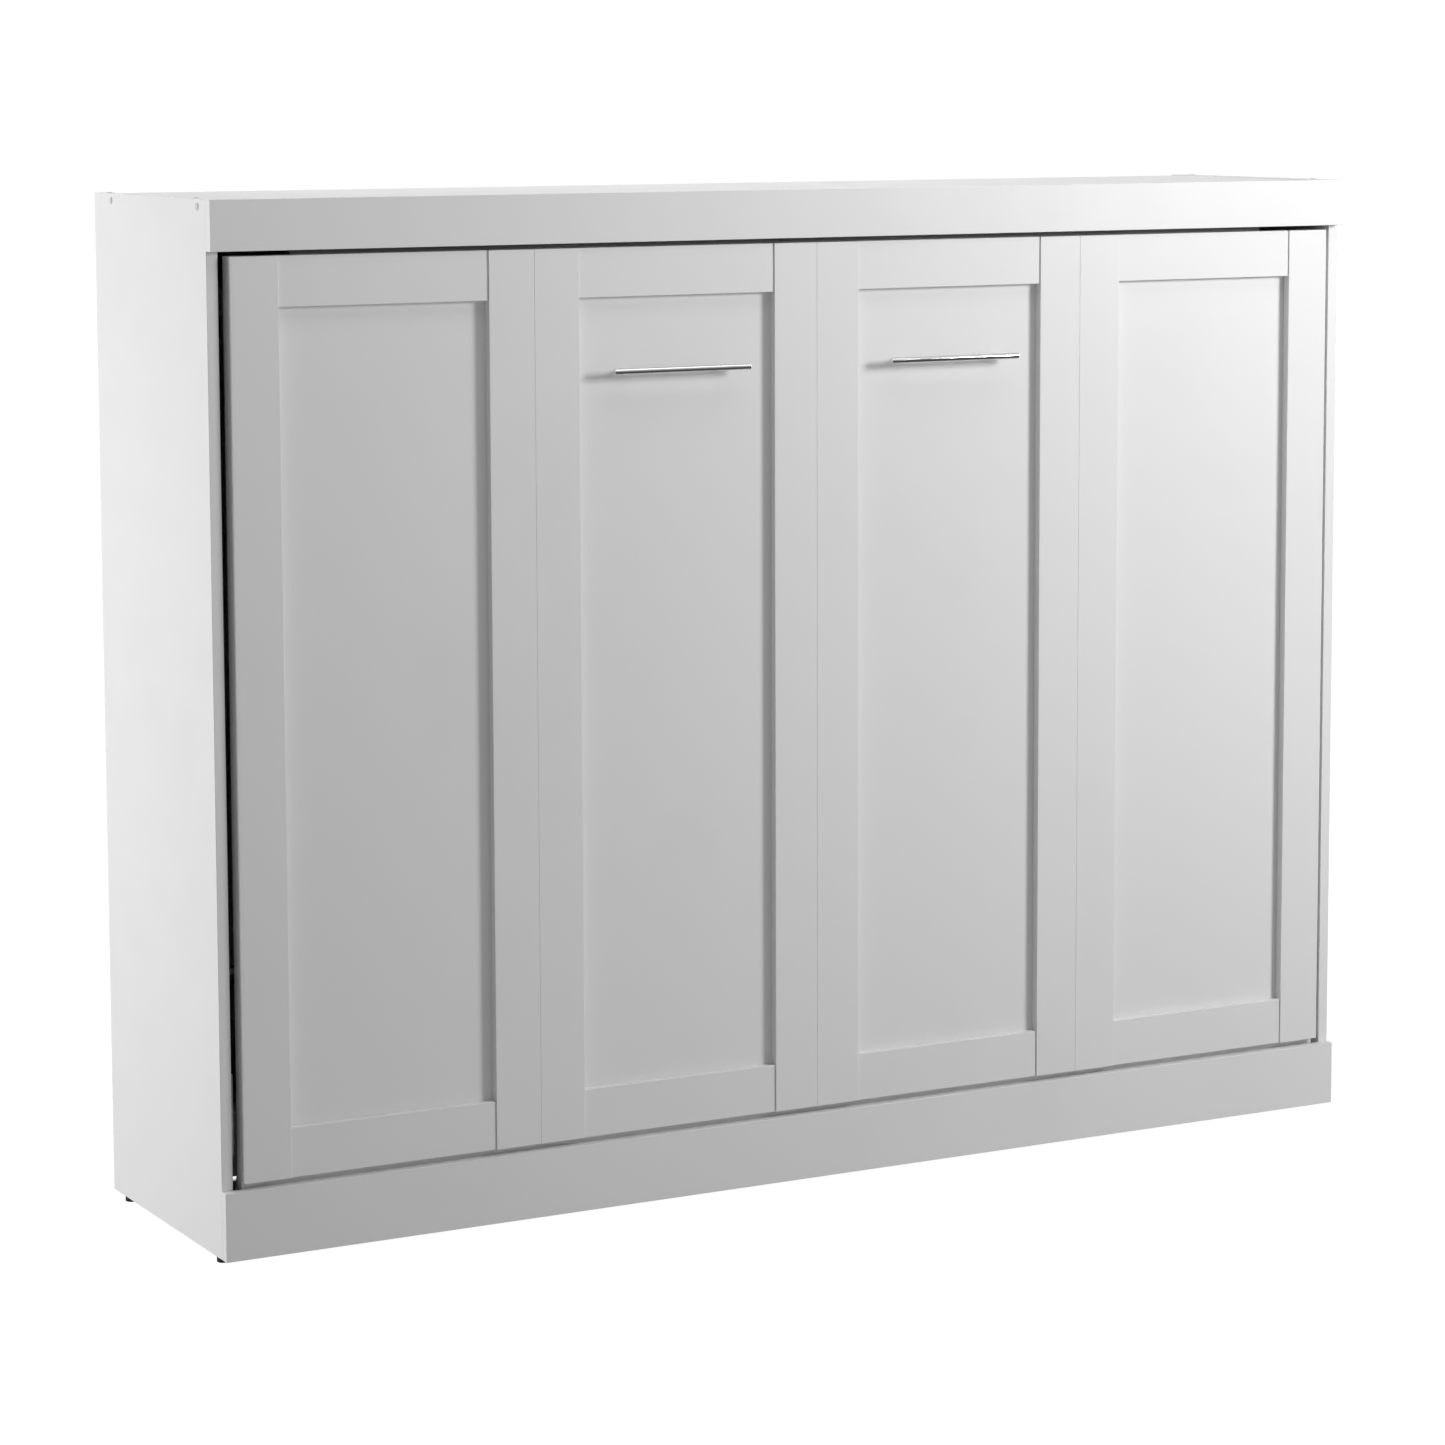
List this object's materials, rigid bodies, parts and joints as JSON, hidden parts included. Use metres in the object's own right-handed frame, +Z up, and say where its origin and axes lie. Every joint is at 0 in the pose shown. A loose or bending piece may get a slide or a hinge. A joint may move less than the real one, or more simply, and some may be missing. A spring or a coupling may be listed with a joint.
{
  "type": "horizontal wall bed",
  "caption": "White cabinet with shaker doors and two chrome bars; the whole front tilts down about a low axis as a bed with folding legs.",
  "frame": {"origin": "bottom centre of the box round the closed bed, on the floor", "axes": "+Z up, front faces -Y, +X to the right seen from the front"},
  "size_m": [2.1472, 0.5264, 1.6796],
  "materials": {
    "white_laminate": "satin",
    "white_hardboard": "matte",
    "pale_wood": "satin",
    "handle_chrome": "polished",
    "zinc_steel": "satin",
    "white_plastic": "satin",
    "black_plastic": "matte",
    "grey_rubber": "matte",
    "mattress_ticking": "matte",
    "black_webbing": "matte",
    "bush_nylon": "matte",
    "black_enamel": "satin",
    "rod_steel": "polished",
    "grey_enamel": "satin"
  },
  "bodies": {
    "cabinet": {"back_sheets": "white_hardboard", "fascia": "white_laminate", "foot_front_left": "black_plastic", "foot_front_right": "black_plastic", "foot_rear_left": "black_plastic", "foot_rear_right": "black_plastic", "kick_backer": "white_laminate", "kick_board": "white_laminate", "pivot_plate_left": "zinc_steel", "pivot_plate_right": "zinc_steel", "screw_caps": "white_plastic", "side_panel_left": "white_laminate", "side_panel_right": "white_laminate", "stop_bumpers": "grey_rubber", "stop_rail": "white_laminate", "strut_bracket_left": "zinc_steel", "strut_bracket_right": "zinc_steel", "top_panel": "white_laminate", "top_panel_screws": "zinc_steel", "wall_rail_lower": "white_laminate", "wall_rail_upper": "white_laminate"},
    "bed": {"door_1_panel": "white_laminate", "door_1_rails": "white_laminate", "door_1_stiles": "white_laminate", "door_2_panel": "white_laminate", "door_2_rails": "white_laminate", "door_2_stiles": "white_laminate", "door_3_panel": "white_laminate", "door_3_rails": "white_laminate", "door_3_stiles": "white_laminate", "door_4_panel": "white_laminate", "door_4_rails": "white_laminate", "door_4_stiles": "white_laminate", "frame_board_lower": "white_laminate", "frame_board_upper": "white_laminate", "frame_end_left": "white_laminate", "frame_end_right": "white_laminate", "handle_bar_left": "handle_chrome", "handle_bar_right": "handle_chrome", "handle_posts": "handle_chrome", "handle_screws": "zinc_steel", "leg_bracket_left": "zinc_steel", "leg_bracket_right": "zinc_steel", "lift_arm_left": "zinc_steel", "lift_arm_right": "zinc_steel", "mattress": "mattress_ticking", "mattress_straps": "black_webbing", "pivot_bushes": "bush_nylon", "slat_centre_rail": "pale_wood", "slat_cleat_lower": "pale_wood", "slat_cleat_upper": "pale_wood", "slats": "pale_wood"},
    "left_leg": {"leg_left": "grey_enamel", "leg_shoe_left": "black_plastic"},
    "right_leg": {"leg_right": "grey_enamel", "leg_shoe_right": "black_plastic"},
    "left_strut_cylinder": {"strut_cylinder_left": "black_enamel"},
    "right_strut_cylinder": {"strut_cylinder_right": "black_enamel"},
    "left_strut_rod": {"strut_rod_left": "rod_steel"},
    "right_strut_rod": {"strut_rod_right": "rod_steel"}
  },
  "joints": [
    {"name": "bed_fold", "type": "hinge", "parent": "cabinet", "child": "bed", "pos_m": [0, -0.18325, 0.24], "axis": [1, 0, 0], "range_deg": [0, 90]},
    {"name": "left_leg_fold", "type": "hinge", "parent": "bed", "child": "left_leg", "pos_m": [-1.0445, -0.17675, 1.5], "axis": [1, 0, 0], "range_deg": [-90, 0]},
    {"name": "right_leg_fold", "type": "hinge", "parent": "bed", "child": "right_leg", "pos_m": [1.0445, -0.17675, 1.5], "axis": [1, 0, 0], "range_deg": [-90, 0]},
    {"name": "left_strut_swing", "type": "hinge", "parent": "cabinet", "child": "left_strut_cylinder", "pos_m": [-1.026, -0.19093, 0.45987], "axis": [1, 0, 0], "range_deg": [0, 45]},
    {"name": "right_strut_swing", "type": "hinge", "parent": "cabinet", "child": "right_strut_cylinder", "pos_m": [1.026, -0.19093, 0.45987], "axis": [1, 0, 0], "range_deg": [0, 45]},
    {"name": "left_rod_swing", "type": "hinge", "parent": "bed", "child": "left_strut_rod", "pos_m": [-1.026, -0.10801, 0.03327], "axis": [1, 0, 0], "range_deg": [-45, 0]},
    {"name": "right_rod_swing", "type": "hinge", "parent": "bed", "child": "right_strut_rod", "pos_m": [1.026, -0.10801, 0.03327], "axis": [1, 0, 0], "range_deg": [-45, 0]}
  ],
  "couplings": [
    {"joint": "left_leg_fold", "follows": "bed_fold", "ratio": -1},
    {"joint": "right_leg_fold", "follows": "bed_fold", "ratio": -1},
    {"joint": "left_strut_swing", "follows": "bed_fold", "ratio": 0.5},
    {"joint": "right_strut_swing", "follows": "bed_fold", "ratio": 0.5},
    {"joint": "left_rod_swing", "follows": "bed_fold", "ratio": -0.5},
    {"joint": "right_rod_swing", "follows": "bed_fold", "ratio": -0.5}
  ]
}
